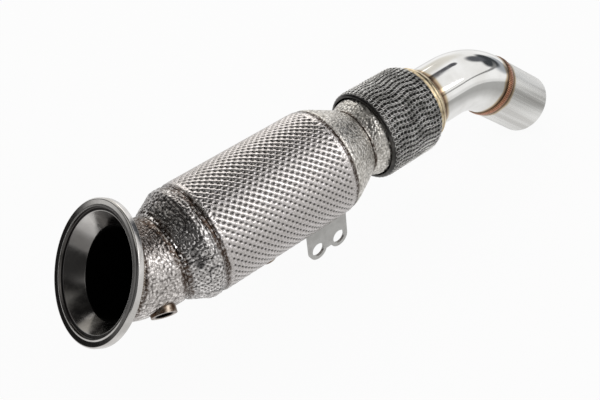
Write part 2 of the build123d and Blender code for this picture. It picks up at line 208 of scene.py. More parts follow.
def waves(x, angle, pitch, around, seed):
    """Smooth uneven waves, from 0 to 1, with whole cells round the tube."""
    u = x / pitch
    v = angle / TURN * around
    i = np.floor(u)
    j = np.floor(v)
    su = smooth(u - i)
    sv = smooth(v - j)
    low = chance(i, j % around, seed) * (1 - sv) + chance(i, (j + 1) % around, seed) * sv
    high = chance(i + 1, j % around, seed) * (1 - sv) + chance(i + 1, (j + 1) % around, seed) * sv
    return low * (1 - su) + high * su


DOME_R = 0.62  # a dome's radius, in cells


def domes(x, angle, pitch, around, seed, scatter=0.8):
    """Round domes scattered over the surface: 1 at each top, 0 in the valleys, and each dome's own number."""
    u = x / pitch
    v = angle / TURN * around
    i = np.floor(u)
    j = np.floor(v)
    best = np.full(np.broadcast(u, v).shape, 9.0)
    tag = np.zeros_like(best)
    for di in (-1, 0, 1):
        for dj in (-1, 0, 1):
            ci = i + di
            cj = (j + dj) % around
            du = u - (ci + 0.5 + scatter * (chance(ci, cj, seed) - 0.5))
            dv = v - (j + dj + 0.5 + scatter * (chance(ci, cj, seed + 1) - 0.5))
            distance = np.hypot(du, dv)
            closer = distance < best
            best = np.where(closer, distance, best)
            tag = np.where(closer, chance(ci, cj, seed + 2), tag)
    return np.clip(1 - (best / DOME_R) ** 2, 0, 1), tag


def ease(value, low, high):
    """0 below low, 1 above high and smooth between."""
    return smooth(np.clip((value - low) / (high - low), 0, 1))


def between(value, low, low_full, high_full, high):
    """1 from low_full to high_full, 0 below low and above high, and smooth between."""
    return ease(value, low, low_full) * ease(-value, -high, -high_full)


def bell(value, width):
    """1 at 0, falling on both sides over about this width."""
    return np.exp(-((value / width) ** 2))


def quarter_round(share):
    """From 0 up a quarter of a circle to 1."""
    return np.sin(np.arccos(np.clip(1 - share, 0, 1)))


def round_angles(around):
    """A row of angles, once round a tube."""
    return np.arange(around)[None, :] / around * TURN


def softened(line, blur):
    """A function for the radius on a line, with the line's corners rounded."""
    step = 0.1
    xs, rs = np.array(line, float).T
    fine = np.arange(xs[0] - 4 * blur, xs[-1] + 4 * blur, step)
    taps = np.exp(-0.5 * (np.arange(-3 * blur, 3 * blur + step, step) / blur) ** 2)
    blurred = np.convolve(np.interp(fine, xs, rs), taps / taps.sum(), "same")
    edge = len(taps) // 2
    return lambda x: np.interp(x, fine[edge:-edge], blurred[edge:-edge])


def eased(outline, size):
    """A closed outline with each corner rounded by an arc-like curve."""
    rounded = []
    points = list(np.array(outline, float))
    for before, corner, after in zip(points[-1:] + points[:-1], points, points[1:] + points[:1]):
        back = before - corner
        ahead = after - corner
        cut = min(size, 0.45 * np.linalg.norm(back), 0.45 * np.linalg.norm(ahead))
        first = corner + unit(back) * cut
        last = corner + unit(ahead) * cut
        for t in np.linspace(0, 1, 5):
            rounded.append((1 - t) ** 2 * first + 2 * t * (1 - t) * corner + t * t * last)
    return np.array(rounded)


# Meshes
def placed(name, data):
    """A new object in the scene."""
    made = bpy.data.objects.new(name, data)
    bpy.context.scene.collection.objects.link(made)
    return made


def with_inside(values, outside, rows):
    """A field's values over a ring's outside, and zeros for the rows of its inside."""
    return np.concatenate([np.broadcast_to(values, outside.shape), np.zeros((rows, outside.shape[1]))])


def make_object(name, points, faces, surface, fields=None, crease=50.0):
    """A piece from points in millimetres, which rides on the part's one body."""
    mesh = bpy.data.meshes.new(name)
    mesh.vertices.add(len(points))
    mesh.vertices.foreach_set("co", (points * MM).ravel())
    mesh.loops.add(faces.size)
    mesh.loops.foreach_set("vertex_index", faces.ravel())
    mesh.polygons.add(len(faces))
    mesh.polygons.foreach_set("loop_start", np.arange(len(faces)) * faces.shape[1])
    mesh.update(calc_edges=True)
    mesh.validate()
    mesh.shade_smooth()
    if crease:
        mesh.set_sharp_from_angle(angle=math.radians(crease))
    for field, values in (fields or {}).items():
        layer = mesh.attributes.new(field, "FLOAT", "POINT")
        layer.data.foreach_set("value", np.asarray(values, float).ravel())
    mesh.materials.append(surface)
    piece = placed(name, mesh)
    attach(piece, "root")
    return piece


def wound(points, faces):
    """The faces of a closed surface, turned to look outwards."""
    a, b, c, d = (points[faces[:, k]] for k in range(4))
    volume = (a * (np.cross(b, c) + np.cross(c, d))).sum()
    return faces if volume > 0 else faces[:, ::-1]


def looped_faces(rows, columns):
    """Quads of a grid that closes on itself both ways."""
    i, j = np.meshgrid(np.arange(rows), np.arange(columns), indexing="ij")
    i2 = (i + 1) % rows
    j2 = (j + 1) % columns
    corners = [i * columns + j, i2 * columns + j, i2 * columns + j2, i * columns + j2]
    return np.stack([c.ravel() for c in corners], axis=1)


def ring(name, route, x, r, around, surface, fields=None, crease=50.0):
    """A closed ring: a loop of distances and radii, carried round a route."""
    x = np.broadcast_to(x.reshape(len(x), -1), (len(x), around))
    r = np.broadcast_to(r.reshape(len(r), -1), (len(r), around))
    points = route.points(x, r, round_angles(around)).reshape(-1, 3)
    faces = wound(points - points.mean(axis=0), looped_faces(len(x), around))
    return make_object(name, points, faces, surface, fields, crease)


TURNED_AROUND = 256  # columns of a plain turned ring


def turned(name, route, outline, surface, slot, corner, painted_shade_at=None):
    """A plain turned ring with eased corners. Its last argument, a function of (x, r, angle), says where
    painted shade darkens its finish.
    """
    loop = eased(outline, corner)
    fields = {}
    if painted_shade_at:
        # Painted shade, carried in a field that the finish reads
        dark = painted_shade_at(loop[:, :1], loop[:, 1:], round_angles(TURNED_AROUND))
        fields["painted_shade_and_spots"] = np.clip(dark, 0, 1)
    return ring(name, route, loop[:, 0], loop[:, 1], TURNED_AROUND, surface, fields)


INNER_ROWS = 9  # rows of a foil's inside
INNER_DEPTH = 1.15  # from a foil's base radius in to its inside
INNER_EDGE = 0.35  # share of that depth at the foil's edges


def foil_ring(name, route, start, end, base, pattern, surface, step, around, depth=INNER_DEPTH):
    """A foil shell: its outside follows a base radius plus a pattern of its own, and its inside is plain.

    pattern(x, angle) gives a height and the fields that its finish reads.
    """
    rows = int((end - start) / step) + 1
    x = np.linspace(start, end, rows)[:, None]
    height, fields = pattern(x, round_angles(around))
    outside = base(x) + height
    inner_x = np.linspace(end, start, INNER_ROWS)[:, None]
    inner_depth = np.full((INNER_ROWS, 1), depth)
    inner_depth[[0, -1]] *= INNER_EDGE
    inside = np.broadcast_to(base(inner_x) - inner_depth, (INNER_ROWS, around))
    loop_x = np.concatenate([x, inner_x])
    loop_r = np.concatenate([outside, inside])
    fields = {field: with_inside(values, outside, INNER_ROWS) for field, values in fields.items()}
    return ring(name, route, loop_x, loop_r, around, surface, fields, None)


def strands(name, paths, outwards, radius, sides, surface, slot):
    """Closed round wires along closed paths. outwards points away from the tube at each point."""
    count, length, _ = paths.shape
    tangent = unit(np.roll(paths, -1, axis=1) - np.roll(paths, 1, axis=1))
    across = unit(np.cross(tangent, outwards))
    out = np.cross(across, tangent)
    angle = round_angles(sides).T
    rim = np.cos(angle) * out[:, :, None, :] + np.sin(angle) * across[:, :, None, :]
    points = (paths[:, :, None, :] + radius * rim).reshape(-1, 3)
    one = looped_faces(length, sides)[:, ::-1]
    faces = np.concatenate([one + k * length * sides for k in range(count)])
    return make_object(name, points, faces, surface, None, None)


# Materials
class Nodes:
    """Short calls for building one tree of shader nodes."""

    def __init__(self, tree):
        self.tree = tree

    def node(self, kind, inputs=None, **settings):
        made = self.tree.nodes.new("ShaderNode" + kind)
        for key, value in settings.items():
            setattr(made, key, value)
        for key, value in (inputs or {}).items():
            if isinstance(value, bpy.types.NodeSocket):
                self.tree.links.new(value, made.inputs[key])
            else:
                made.inputs[key].default_value = value
        return made

    def math(self, operation, a, b=0.5):
        return self.node("Math", {0: a, 1: b}, operation=operation).outputs[0]

    def product(self, first, *others):
        for other in others:
            first = self.math("MULTIPLY", first, other)
        return first

    def vector(self, operation, a, b=(0.0, 0.0, 0.0)):
        """The outputs of a vector operation, which are Vector and Value."""
        return self.node("VectorMath", {0: a, 1: b}, operation=operation).outputs

    def split(self, vector):
        """The outputs X, Y and Z of a vector."""
        return self.node("SeparateXYZ", {"Vector": vector}).outputs

    def span(self, value, low, high, to_low=0.0, to_high=1.0):
        """A value's smooth way from low to high, put between to_low and to_high."""
        inputs = {"Value": value, "From Min": low, "From Max": high, "To Min": to_low, "To Max": to_high}
        return self.node("MapRange", inputs, interpolation_type="SMOOTHSTEP").outputs[0]

    def blend(self, share, a, b):
        """A mix of two colours."""
        inputs = {0: share}
        for key, value in ((6, a), (7, b)):
            inputs[key] = value if isinstance(value, bpy.types.NodeSocket) else (*value, 1)
        return self.node("Mix", inputs, data_type="RGBA").outputs[2]


class Finish(Nodes):
    """One metal or fibre surface."""

    def __init__(self, name, roughness, color, metallic=1.0):
        self.material = bpy.data.materials.new(name)
        self.material.use_nodes = True
        super().__init__(self.material.node_tree)
        self.shader = self.tree.nodes["Principled BSDF"]
        for key, value in (("Metallic", metallic), ("Roughness", roughness), ("Base Color", (*color, 1))):
            self.shader.inputs[key].default_value = value
        self.material.diffuse_color = (*color, 1)
        self.place = self.node("TexCoord").outputs["Object"]

    def noise(self, size, detail=3.0, place=None):
        """Noise whose features are about this many millimetres across."""
        inputs = {"Vector": place or self.place, "Scale": 1000.0 / size, "Detail": detail, "Roughness": 0.55}
        return self.node("TexNoise", inputs).outputs["Fac"]

    def field(self, name):
        return self.node("Attribute", attribute_name=name).outputs["Fac"]

    def along(self, route, stretch):
        """Coordinates turned to a straight route, and drawn out along it."""
        axes = Matrix((route.way, route.up, route.side)).transposed()
        inputs = {"Vector": self.place, "Location": Vector(route.start * MM)}
        inputs |= {"Rotation": axes.to_euler(), "Scale": (stretch, 1, 1)}
        return self.node("Mapping", inputs, vector_type="TEXTURE").outputs["Vector"]

    def color(self, value):
        self.tree.links.new(value, self.shader.inputs["Base Color"])

    def rough(self, noise, to_low, to_high, low=0.3, high=0.7):
        """Roughness that varies with a noise."""
        value = self.span(noise, low, high, to_low, to_high)
        self.tree.links.new(value, self.shader.inputs["Roughness"])

    def bump(self, height, distance, strength):
        """Relief of this many millimetres."""
        made = self.node("Bump", {"Height": height, "Distance": distance * MM, "Strength": strength})
        self.tree.links.new(made.outputs["Normal"], self.shader.inputs["Normal"])


def turned_steel():
    """Polished steel with faint turning marks about the flange's axis."""
    finish = Finish("turned_steel", roughness=0.2, color=(0.5, 0.49, 0.48))
    spot = finish.split(finish.along(inlet, 1.0))
    squares = finish.math("ADD", finish.math("POWER", spot["Y"], 2.0), finish.math("POWER", spot["Z"], 2.0))
    radius = finish.math("POWER", squares, 0.5)
    lines = finish.node("CombineXYZ", {"X": radius, "Y": spot["X"]}).outputs[0]
    steel = finish.blend(finish.span(finish.noise(18.0), 0.3, 0.7), (0.58, 0.56, 0.54), (0.7, 0.68, 0.66))
    # Painted shade from the ring's field darkens the steel almost to black
    finish.color(finish.blend(finish.field("painted_shade_and_spots"), steel, (0.05, 0.045, 0.042)))
    finish.rough(finish.noise(6.0), 0.14, 0.24, 0.3, 0.75)
    finish.bump(finish.noise(0.5, 2.0, lines), 0.02, 0.35)
    return finish.material


# Heat-tinted foil, darkened to also paint shade in seams' grooves and on tubes' tops
BROWN = (0.062, 0.041, 0.03)  # foil that the heat has tinted


def foil_finish(name, bright, dull, dark, roughness, grain, gleam):
    """Embossed foil: bright flecks as painted glints scattered over it, painted shade in its pits, and brown
    where heat has tinted it and where that brown stands in for painted shade along seams and on tops.

    grain is the flecks' size in millimetres, and more gleam makes more of them.
    """
    finish = Finish(name, roughness=roughness, color=bright)
    # Painted glints: bright flecks of noise, standing in for light caught by the foil's crinkles
    glint_fleck = finish.span(finish.noise(grain * 1.7, 2.0), 0.62 - 0.2 * gleam, 0.74 - 0.2 * gleam)
    cloud = finish.span(finish.noise(grain * 9), 0.35, 0.7, 0.7, 1.0)
    metal = finish.blend(finish.product(glint_fleck, cloud), dull, bright)
    # Painted shade in the pits
    shaded = finish.blend(finish.field("painted_shade_and_spots"), metal, dark)
    # Brown: heat tint, and painted shade in seams' grooves and on tubes' tops
    patch = finish.product(finish.field("tint"), finish.span(finish.noise(2.6, 4.0), 0.25, 0.58))
    finish.color(finish.blend(patch, shaded, BROWN))
    finish.rough(finish.noise(grain * 3), roughness - 0.08, roughness + 0.1)
    finish.bump(finish.noise(grain), 0.25, 0.55)
    return finish.material


def plain_steel(name, color, darker, roughness, grain=4.0, relief=0.03):
    """Satin steel with slight clouds and a fine grain."""
    finish = Finish(name, roughness=roughness, color=color)
    finish.color(finish.blend(finish.span(finish.noise(grain * 4), 0.35, 0.7), color, darker))
    finish.rough(finish.noise(grain), roughness - 0.06, roughness + 0.08)
    finish.bump(finish.noise(0.8, 2.0), relief, 0.5)
    return finish.material


def heated(finish, steel):
    """Straw and brown heat colours beside a weld, over a tube's steel."""
    warm = finish.field("tint")
    straw = finish.blend(finish.span(warm, 0.05, 0.5), steel, (0.5, 0.4, 0.27))
    finish.color(finish.blend(finish.span(warm, 0.45, 0.95), straw, (0.16, 0.1, 0.065)))


def brushed_steel(route):
    """Tube brushed along its length."""
    finish = Finish("brushed_steel", roughness=0.24, color=(0.64, 0.63, 0.61))
    streaks = finish.noise(3.0, 3.0, finish.along(route, 90.0))
    broad = finish.noise(16.0, 2.0, finish.along(route, 20.0))
    tone = finish.math("ADD", finish.product(streaks, 0.35), finish.product(broad, 0.65))
    heated(finish, finish.blend(finish.span(tone, 0.36, 0.64), (0.6, 0.59, 0.57), (0.86, 0.855, 0.835)))
    finish.rough(streaks, 0.2, 0.3)
    finish.bump(streaks, 0.02, 0.3)
    return finish.material


def polished_steel():
    finish = Finish("polished_steel", roughness=0.07, color=(0.8, 0.79, 0.77))
    cloud = finish.noise(25.0, 2.0)
    heated(finish, finish.blend(finish.span(cloud, 0.3, 0.7), (0.76, 0.75, 0.725), (0.86, 0.855, 0.84)))
    finish.rough(finish.noise(5.0), 0.05, 0.1, 0.35, 0.75)
    finish.bump(finish.noise(30.0, 1.0), 0.15, 0.25)
    return finish.material


def tinted_weld(name, core, edge, dark, roughness):
    """A weld bead with heat colours that change across and along it, and painted shade between its ripples."""
    finish = Finish(name, roughness=roughness, color=core)
    patch = finish.span(finish.noise(5.0), 0.35, 0.68)
    tone = finish.blend(finish.span(finish.field("edge"), 0.35, 0.95), core, edge)
    tone = finish.blend(finish.product(patch, 0.5), tone, edge)
    # Painted shade between the ripples, in the dark colour
    finish.color(finish.blend(finish.product(finish.field("painted_shade_and_spots"), 0.8), tone, dark))
    finish.rough(finish.noise(2.0), roughness - 0.08, roughness + 0.1)
    finish.bump(finish.noise(1.4, 2.0), 0.2, 0.6)
    return finish.material


def tinted_steel(mount):
    """Machined boss steel, browned by the heat of its weld, with painted shade in its bore, almost black."""
    finish = Finish("tinted_" + mount, roughness=0.27, color=(0.42, 0.35, 0.28))
    heat = finish.span(finish.noise(6.0), 0.36, 0.62)
    tone = finish.blend(heat, (0.42, 0.36, 0.3), (0.13, 0.08, 0.05))
    beside = finish.vector("SUBTRACT", finish.place, Vector(mount_place(mount) * MM))["Vector"]
    across = finish.vector("CROSS_PRODUCT", beside, Vector(mount_way(mount)))["Vector"]
    from_axis = finish.vector("LENGTH", across)["Value"]
    # Painted shade: the bore, near the boss's axis, almost black
    bore = finish.span(from_axis, 9.3 * MM, 8.5 * MM)
    finish.color(finish.blend(bore, tone, (0.008, 0.007, 0.007)))
    finish.rough(finish.noise(2.0), 0.2, 0.36)
    finish.bump(finish.noise(0.6, 2.0), 0.05, 0.5)
    return finish.material


def shaded_bore():
    """The pipe's steel, dull and almost black, as painted shade inside the tube."""
    finish = Finish("shaded_bore_steel", roughness=0.7, color=(0.006, 0.006, 0.006))
    finish.color(finish.blend(finish.noise(9.0), (0.003, 0.003, 0.003), (0.009, 0.0085, 0.008)))
    finish.bump(finish.noise(0.8), 0.08, 0.5)
    return finish.material


def fibre():
    """Glass fibre blanket: pale, matt and matted."""
    finish = Finish("fibre", roughness=0.95, color=(0.62, 0.58, 0.5), metallic=0.0)
    strand = finish.noise(0.7, 4.0)
    finish.color(finish.blend(strand, (0.48, 0.44, 0.37), (0.72, 0.68, 0.6)))
    finish.bump(strand, 0.3, 0.9)
    return finish.material


def ceramic():
    finish = Finish("ceramic", roughness=0.85, color=(0.3, 0.27, 0.22), metallic=0.0)
    finish.color(finish.blend(finish.noise(5.0), (0.2, 0.18, 0.145), (0.36, 0.32, 0.26)))
    finish.bump(finish.noise(0.5), 0.1, 0.6)
    return finish.material


WIRE = plain_steel("wire_steel", (0.97, 0.955, 0.93), (0.46, 0.45, 0.43), 0.25)
# The inner wires' steel, the same wire as the outer ones, darkened as painted shade deeper in the braid
SHADED_WIRE = plain_steel("shaded_wire_steel", (0.12, 0.115, 0.11), (0.04, 0.038, 0.036), 0.34)
# Painted shade: a near-black finish for the layer under the wires
UNDER_SHADE = plain_steel("painted_shade_under_weave", (0.035, 0.034, 0.032), (0.015, 0.015, 0.015), 0.5, 3.0, 0.2)
# The flex's end ring, its steel dark as painted shade where the braid's end shadows it
DARK_RING = plain_steel("dark_ring_steel", (0.11, 0.105, 0.1), (0.05, 0.048, 0.046), 0.22)
SATIN = plain_steel("satin_steel", (0.47, 0.465, 0.45), (0.41, 0.405, 0.39), 0.36)
PIPE = plain_steel("pipe_steel", (0.3, 0.28, 0.26), (0.2, 0.18, 0.16), 0.4)
THIN = plain_steel("thin_steel", (0.4, 0.4, 0.4), (0.28, 0.28, 0.28), 0.3)
TURNED = turned_steel()
# Each foil's colours: bright for its painted glints, dull for its steel, and dark for painted shade in its
# pits
DIMPLED = foil_finish(
    "dimpled_foil", (1.0, 0.95, 0.92), (0.47, 0.44, 0.42), (0.07, 0.06, 0.055),
    roughness=0.22, grain=1.4, gleam=0.72,
)
DARK_FOIL = foil_finish(
    "dark_foil", (1.0, 0.97, 0.95), (0.42, 0.4, 0.39), (0.03, 0.028, 0.028),
    roughness=0.2, grain=1.3, gleam=0.75,
)
WOVEN = foil_finish(
    "woven_foil", (0.82, 0.777, 0.783), (0.55, 0.52, 0.5), (0.05, 0.046, 0.044),
    roughness=0.2, grain=0.9, gleam=0.6,
)
PALE_FOIL = foil_finish(
    "pale_foil", (1.0, 0.97, 0.92), (0.62, 0.59, 0.545), (0.1, 0.09, 0.08),
    roughness=0.34, grain=1.7, gleam=0.7,
)
BRUSHED = brushed_steel(outlet)
POLISHED = polished_steel()
# Each weld's colours: its core and edge heat colours, and a dark colour for painted shade between its ripples
COPPER = tinted_weld("copper_weld_metal", (0.68, 0.32, 0.2), (0.22, 0.14, 0.075), (0.1, 0.038, 0.024), 0.2)
STRAW = tinted_weld("straw_ring_steel", (0.82, 0.7, 0.48), (0.36, 0.25, 0.13), (0.1, 0.06, 0.035), 0.2)
GREY_WELD = tinted_weld("grey_weld_metal", (0.45, 0.42, 0.38), (0.25, 0.18, 0.12), (0.08, 0.06, 0.05), 0.34)
FRONT_BOSS = tinted_steel("front_sensor_boss")
REAR_BOSS = tinted_steel("rear_sensor_boss")
SHADED_BORE = shaded_bore()
FIBRE = fibre()
CERAMIC = ceramic()

# CAD nodes whose form stays, by their finish
kept = {
    # Painted shade: the inner pipes near black
    SHADED_BORE: ["inlet_elbow", "inlet_cone"],
    PIPE: ["catalyst_can", "outlet_cone", "neck_tube"],
    FRONT_BOSS: ["front_sensor_boss"],
    REAR_BOSS: ["rear_sensor_boss"],
    FIBRE: ["front_brick_mat", "rear_brick_mat"],
    CERAMIC: ["front_catalyst_brick", "rear_catalyst_brick"],
    SATIN: ["mounting_bracket"],
    GREY_WELD: ["bracket_weld"],
    THIN: ["flex_bellows", "flex_liner"],
}
for surface, names in kept.items():
    for name in names:
        nodes[name].data.materials.clear()
        nodes[name].data.materials.append(surface)

# Inlet flange and its weld
flange_outline = [
    (1.6, 68.0), (0.0, 66.4), (1.2, 61.6), (0.4, 60.0), (3.2, 59.2), (3.2, 56.0),
    (20.0, 44.5), (22.0, 44.5), (22.0, 47.45), (10.0, 57.0), (7.0, 68.0),
]


def near_clock(angle, clock, half):
    """1 at a place round a tube, falling to 0 a half width from it, in degrees."""
    away = np.degrees(np.arccos(np.clip(np.cos(angle - math.radians(clock)), -1, 1)))
    return ease(-away, -half, 0.0)


def flange_shade_and_reflections(x, r, angle):
    """Painted shade in the hollow face, on the ledge and in the cone, with a slight random unevenness. It is
    lighter where painted reflections lift it in two streaks, and where painted light lifts the face's top.
    """
    hollow = between(r, 61.4, 62.1, 66.3, 66.8) * (x < 2.0)
    ledge = ease(x, 0.45, 0.8) * ease(r, 56.1, 56.5) * (r < 60.3)
    cone = (x > 3.4) & (r < 56.0)
    # Painted reflections: two streaks where the cone is lighter
    reflection_streak = 0.75 * near_clock(angle, -44, 32) + 0.3 * near_clock(angle, 168, 30)
    rough = 0.06 * waves(x, angle, 3.0, 40, 7)
    # Painted light: the face lighter towards its top
    painted_light_top = near_clock(angle, -12, 60)
    return hollow * (0.95 - 0.95 * painted_light_top) + 0.95 * ledge + cone * (0.73 - reflection_streak + rough)


flange = turned("turned_flange", inlet, flange_outline, TURNED, "polished_flange", 0.6, flange_shade_and_reflections)
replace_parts(flange, "inlet_flange")

WELD_ROWS = 13
RIPPLE_COLUMNS = 8
RIPPLE_LAG = 0.42  # how far a ripple's ends trail behind its middle


def weld_ring(name, route, start, width, foot_r, base_r, height, ripples, surface, node):
    """A bead laid in overlapping coins, rippled along its length, in place of a CAD node."""
    around = ripples * RIPPLE_COLUMNS
    turns = np.arange(around)[None, :] / around
    share = np.linspace(0, 1, WELD_ROWS)[:, None]
    bow = np.sqrt(np.clip(1 - (2 * share - 1) ** 2, 0, 1))
    phase = turns * ripples + RIPPLE_LAG * (2 * share - 1) ** 2
    jitter = waves(share * 3, turns * TURN, 1.0, ripples, 5)
    coin = (phase % 1.0) ** 2
    outside = base_r + height * bow * (0.72 + 0.28 * coin) * (0.9 + 0.1 * jitter)
    x = start + width * share
    loop_x = np.concatenate([x, x[[-1, 0]]])
    loop_r = np.concatenate([outside, np.full((2, around), foot_r)])
    fields = {
        "edge": with_inside(np.abs(2 * share - 1), outside, 2),
        # Painted shade in the troughs between the ripples
        "painted_shade_and_spots": with_inside((1 - coin) ** 3 * (bow > 0), outside, 2),
    }
    piece = ring(name, route, loop_x, loop_r, around, surface, fields, None)
    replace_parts(piece, node)


weld_ring(
    "flange_bead", inlet, start=21.6, width=3.2, foot_r=44.5, base_r=45.4, height=1.6, ripples=120,
    surface=GREY_WELD, node="flange_weld",
)


# Blankets and foils
def pressed_blanket(name, route, start, end, line, room=LEFT):
    """The CAD blanket, with its outside pressed down to this room over a line."""
    mesh = nodes[name].data.copy()
    place = nodes[name].matrix_world.copy()
    points = np.array([place @ vertex.co for vertex in mesh.vertices]) / MM
    stations = np.arange(start, end, 0.25)
    centres = route.at(stations)[0]
    nearest = np.array([np.argmin(((centres - point) ** 2).sum(axis=1)) for point in points])
    out = points - centres[nearest]
    radius = np.linalg.norm(out, axis=1)
    xs, rs = np.array(line, float).T
    pressed = np.minimum(radius, np.interp(stations[nearest], xs, rs) + room)
    points = centres[nearest] + out * (pressed / radius)[:, None]
    back = place.inverted()
    for vertex, point in zip(mesh.vertices, points):
        vertex.co = back @ Vector(point * MM)
    mesh.materials.clear()
    mesh.materials.append(FIBRE)
    piece = placed("pressed_" + name, mesh)
    piece.matrix_world = place
    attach(piece, "root")
    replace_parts(piece, name)


def edge_window(x, start, end):
    """1 over a foil's middle and less on its two lips."""
    window = between(x, start + 0.6 * LIP, start + LIP + RISE, end - LIP - RISE, end - 0.6 * LIP)
    return 0.3 + 0.7 * window


def seam_tint_and_shade(x, angle, start, end, reach, seed):
    """Heat tint along a foil's two edges, uneven round the tube, which also paints shade in the seam's groove.
    """
    edge = np.minimum(x - start, end - x) / reach
    broad = 0.5 * (waves(x, angle, 6.0, 30, seed) - 0.5)
    fine = 0.4 * (waves(x, angle, 2.5, 70, seed + 1) - 0.5)
    return ease(-edge + (broad + fine), -1.4, -0.75)


def top_shade_and_heat(x, angle, seed, low, high):
    """Painted shade and brown heat tint on the tube's top, with an uneven edge."""
    return ease(np.cos(angle) + 0.3 * (waves(x, angle, 12.0, 14, seed) - 0.5), low, high)


def foil_line(tube, start, end):
    """The outside of a foil on a tube's line, with the foil's edges pressed down."""
    xs, rs = np.array(tube, float).T
    low = start + LIP + RISE
    high = end - LIP - RISE
    marks = [start, start + LIP, low, high, end - LIP, end]
    marks += [x for x in xs if low < x < high]
    line = []
    for x in sorted(marks):
        line.append((x, np.interp(x, xs, rs) + FOIL + (COVER if low <= x <= high else SLIP)))
    return softened(line, 0.5)


def press_round(route, x, angle, radius, mount):
    """0 where a foil is pressed down round a boss and 1 away from it."""
    way = mount_way(mount)
    away = route.points(x, radius, angle) - mount_place(mount)
    ahead = away @ way
    from_axis = np.linalg.norm(away - ahead[..., None] * way, axis=2)
    return np.where(ahead > -30, ease(from_axis, BOSS_R + RISE_FROM, BOSS_R + RISE_TO), 1.0)


elbow_end = INLET_LEAD + math.radians(INLET_BEND) * INLET_BEND_R + INLET_REST - SEAM
elbow_line = [(ELBOW_FOIL_START - 5, PIPE_R), (elbow_end + 5, PIPE_R)]
elbow_base = foil_line(elbow_line, ELBOW_FOIL_START, elbow_end)
pressed_blanket("elbow_blanket", inlet, ELBOW_FOIL_START, elbow_end, elbow_line)


def stucco(x, angle):
    """Small scattered domes, pressed down round the front boss."""
    dome, tag = domes(x, angle, 2.9, 96, 11)
    fold = waves(x, angle, 11.0, 26, 3)
    window = edge_window(x, ELBOW_FOIL_START, elbow_end)
    press = press_round(inlet, x, angle, PIPE_R + COVER, "front_sensor_boss")
    height = (0.62 * (dome - 1) * (0.6 + 0.4 * tag) - 0.35 * (1 - fold)) * window * press
    height -= PRESSED * (1 - press) * window
    heat = seam_tint_and_shade(x, angle, ELBOW_FOIL_START, elbow_end, 4.6, 21)
    top = top_shade_and_heat(x, angle, 31, 0.55, 0.95)
    # Painted shade in the valleys between the domes and on the tube's top
    painted_shade_and_spots = np.clip(ease(1 - dome, 0.45, 1.0) * (0.35 + 0.65 * tag) + 0.45 * top, 0, 1)
    # Brown: heat tint at the seams and round the boss, and painted shade with heat tint on the top
    tint = np.clip(heat + 0.75 * top + 0.7 * (1 - press), 0, 1)
    return height, {"painted_shade_and_spots": painted_shade_and_spots * window, "tint": tint}


piece = foil_ring(
    "elbow_foil", inlet, ELBOW_FOIL_START, elbow_end + CLOSE, elbow_base, stucco,
    DIMPLED, step=0.7, around=408,
)
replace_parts(piece, "elbow_shield")

cone_line = [(CONE_START, PIPE_R), (CONE_END, CAN_R), (5.0, CAN_R)]
cone_base = foil_line(cone_line, CONE_START, -SEAM)
pressed_blanket("inlet_cone_blanket", body, CONE_START, 0.0, cone_line)

BELT_CLOCK = math.radians(100.0)  # the side with the belt of dimples


def crumpled(x, angle):
    """Crumpled foil with a belt of dimples in rows."""
    dome, tag = domes(x, angle, 2.8, 104, 41, 0.9)
    fold = waves(x, angle, 7.0, 40, 43)
    crease = bell(np.abs(waves(x, angle, 12.0, 22, 45) - 0.5) * 2, 0.09)
    rows = np.cos(TURN * x / 5.2) * np.cos(angle * 56)
    belt = ease(np.cos(angle - BELT_CLOCK), 0.9, 0.975)
    window = edge_window(x, CONE_START, -SEAM)
    rough = 0.75 * (dome - 1) - 0.4 * (1 - fold) - 0.5 * crease
    neat = 0.3 * (rows - 1)
    height = ((1 - belt) * rough + belt * neat) * window
    # Painted shade in the domes' valleys, the belt's dimples and the creases
    painted_shade_and_spots = (1 - belt) * ease(1 - dome, 0.45, 1.0) * (0.3 + 0.6 * tag) + belt * ease(-rows, 0.1, 0.9)
    painted_shade_and_spots = np.clip(painted_shade_and_spots + 0.9 * crease, 0, 1)
    heat = seam_tint_and_shade(x, angle, CONE_START, -SEAM, 3.4, 49)
    tint = np.clip(heat + 0.45 * top_shade_and_heat(x, angle, 33, 0.6, 0.97), 0, 1)
    return height, {"painted_shade_and_spots": painted_shade_and_spots * window, "tint": tint}


piece = foil_ring(
    "inlet_cone_foil", body, CONE_START - CLOSE, -SEAM + CLOSE, cone_base, crumpled,
    DARK_FOIL, step=0.7, around=448,
)
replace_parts(piece, "inlet_cone_shield")

WEAVE_LENGTH = 8.0
WEAVE_COUNT = 46  # strips round the body
WEAVE_START = 5.5
WEAVE_END = 159.5
WEAVE_FADE = 2.5
body_line = [(-5.0, CAN_R), (CAN_END + 5, CAN_R)]
body_base = foil_line(body_line, 0.0, SHIELD_LENGTH)
pressed_blanket("body_blanket", body, 0.0, SHIELD_LENGTH, body_line)


def woven(x, angle):
    """Basket weave pressed into the foil, with crinkled plain edges."""
    across = TURN * x / WEAVE_LENGTH
    weave = 0.7 * np.cos(across - angle * WEAVE_COUNT) + 0.3 * np.cos(across + angle * WEAVE_COUNT)
    inside = between(x, WEAVE_START, WEAVE_START + WEAVE_FADE, WEAVE_END - WEAVE_FADE, WEAVE_END)
    crinkle, tag = domes(x, angle, 2.4, 150, 61)
    window = edge_window(x, 0.0, SHIELD_LENGTH)
    press = press_round(body, x, angle, SHIELD_R, "rear_sensor_boss")
    relief = -0.95 * ease(-weave, -0.35, 0.85) * inside
    height = (relief + 0.55 * (crinkle - 1) * (1 - inside)) * window * press - PRESSED * (1 - press)
    # Painted shade in the weave's hollows and the crinkle's valleys
    painted_shade_and_spots = ease(-weave, 0.3, 0.7) * inside + 0.5 * ease(1 - crinkle, 0.5, 1.0) * (1 - inside) * tag
    tint = seam_tint_and_shade(x, angle, 0.0, SHIELD_LENGTH, 2.6, 63) + 0.6 * (1 - press)
    return height, {"painted_shade_and_spots": painted_shade_and_spots * window, "tint": np.clip(tint, 0, 1)}


